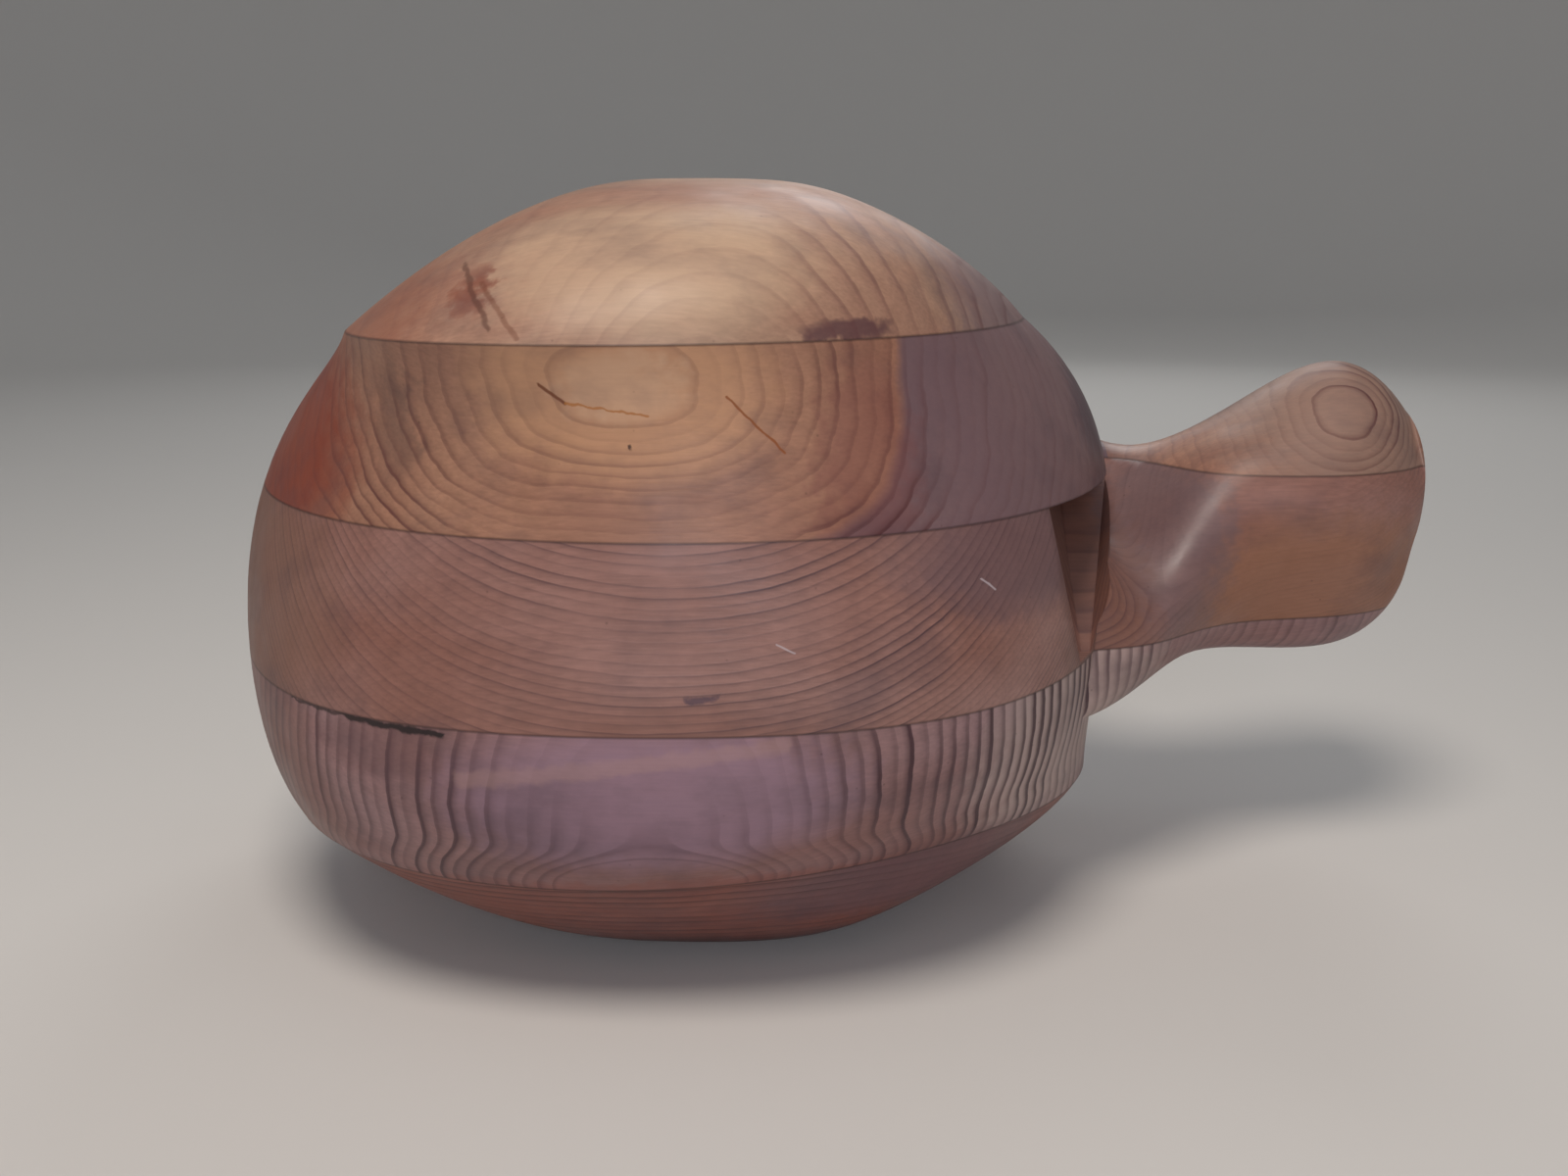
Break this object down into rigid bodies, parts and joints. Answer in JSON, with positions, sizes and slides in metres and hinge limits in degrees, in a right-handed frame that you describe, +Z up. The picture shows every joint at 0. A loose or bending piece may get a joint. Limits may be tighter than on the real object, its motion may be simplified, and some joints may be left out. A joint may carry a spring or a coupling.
{
  "type": "feed scoop",
  "caption": "Deep round-bowled wooden feed scoop with a stubby flared handle, carved from boards glued face to face.",
  "frame": {"origin": "middle of the scoop's box, on the floor under its lower cheek", "axes": "+X from the toe of the bowl to the knob of the handle, +Y from the flattened back of the bowl to its mouth, +Z up through the boards, square to the glue planes"},
  "size_m": [0.3024, 0.138, 0.178],
  "materials": {
    "lower_cheek_board": "hand-carved softwood, oiled and worn, grimy underneath",
    "lower_board": "hand-carved softwood, oiled and worn",
    "middle_board": "hand-carved softwood, oiled and worn",
    "upper_board": "hand-carved softwood, oiled and worn",
    "upper_cheek_board": "hand-carved softwood, oiled and worn"
  },
  "bodies": {
    "root": {"lower_cheek_board": "lower_cheek_board", "lower_board": "lower_board", "middle_board": "middle_board", "upper_board": "upper_board", "upper_cheek_board": "upper_cheek_board"}
  },
  "joints": []
}
